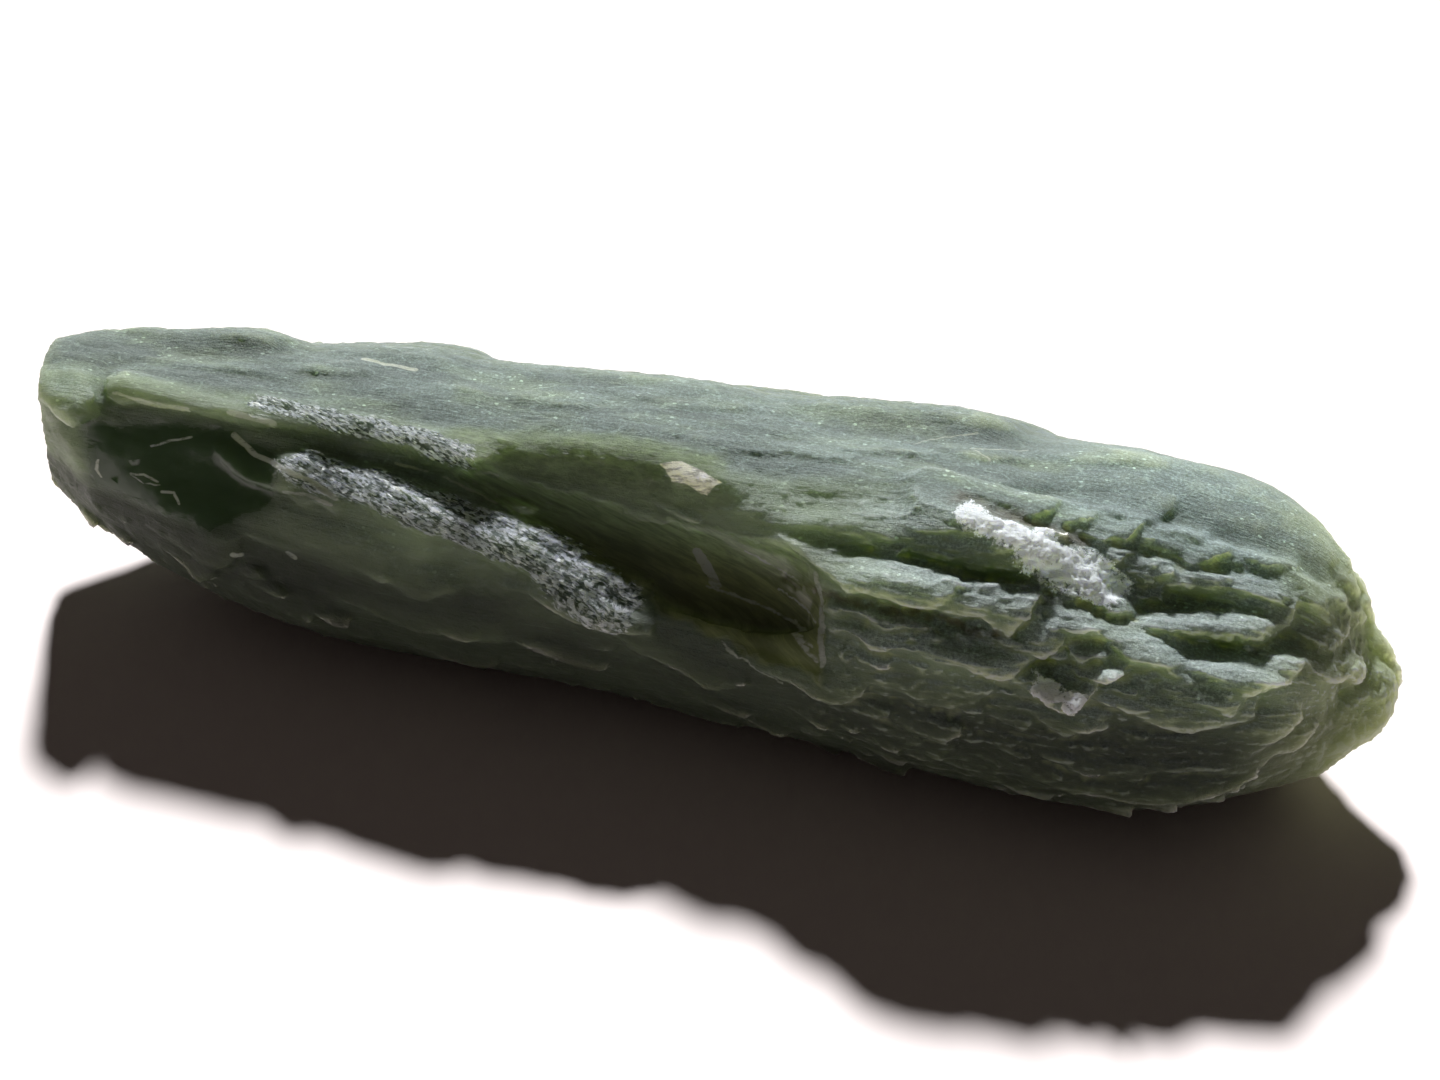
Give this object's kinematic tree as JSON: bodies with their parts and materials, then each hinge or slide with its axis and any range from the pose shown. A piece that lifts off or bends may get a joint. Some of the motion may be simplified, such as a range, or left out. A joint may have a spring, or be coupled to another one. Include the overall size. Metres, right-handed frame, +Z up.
{
  "type": "raw green quartz",
  "caption": "Long splintery lump of raw green quartz with a smooth scoop in its front, broken flat at the thin end and shaggy with blades at the thick end.",
  "frame": {"origin": "middle of the base, on the flat face the stone lies on", "axes": "+X along the stone towards its shaggy rounded end, -Y out of its front with the scoop, +Z up"},
  "size_m": [0.062, 0.0174, 0.013],
  "materials": {
    "green_quartz": "milky translucent green quartz, weathered grey and satin on its outer faces, glassy in the fresh breaks"
  },
  "bodies": {
    "root": {"green_quartz": "green_quartz"}
  },
  "joints": []
}
